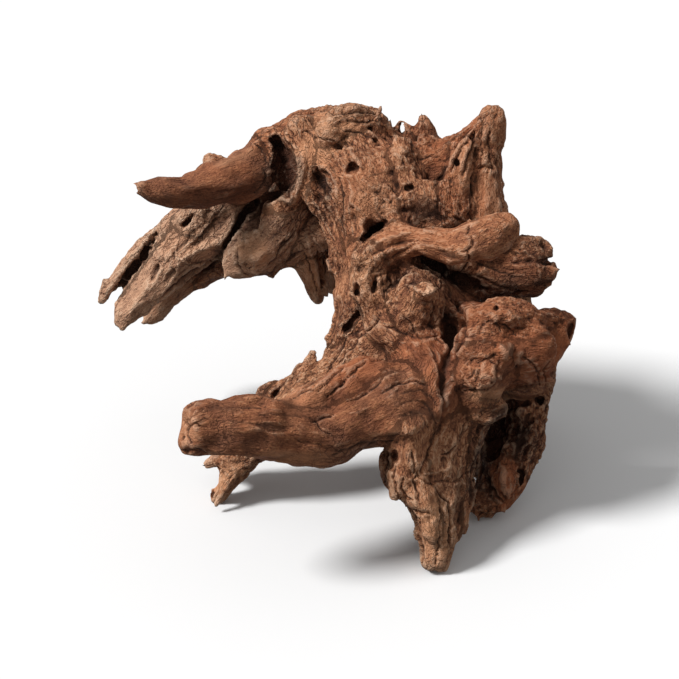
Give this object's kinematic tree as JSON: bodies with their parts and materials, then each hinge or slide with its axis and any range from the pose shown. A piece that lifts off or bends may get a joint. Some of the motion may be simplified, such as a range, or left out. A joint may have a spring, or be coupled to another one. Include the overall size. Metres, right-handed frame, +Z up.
{
  "type": "driftwood",
  "caption": "Gnarled weathered root burl that arches over an open space and stands on three root ends, for a fish tank, terrarium or shelf.",
  "frame": {"origin": "on the surface that the wood stands on, under the middle of its bounding box", "axes": "+Z up, -Y towards the viewer of the picture, +X to that viewer's right"},
  "size_m": [0.3643, 0.3159, 0.293],
  "materials": {
    "driftwood": "dry weathered wood, reddish brown with grey-brown undersides and dark hollows"
  },
  "bodies": {
    "root": {"driftwood": "driftwood"}
  },
  "joints": []
}
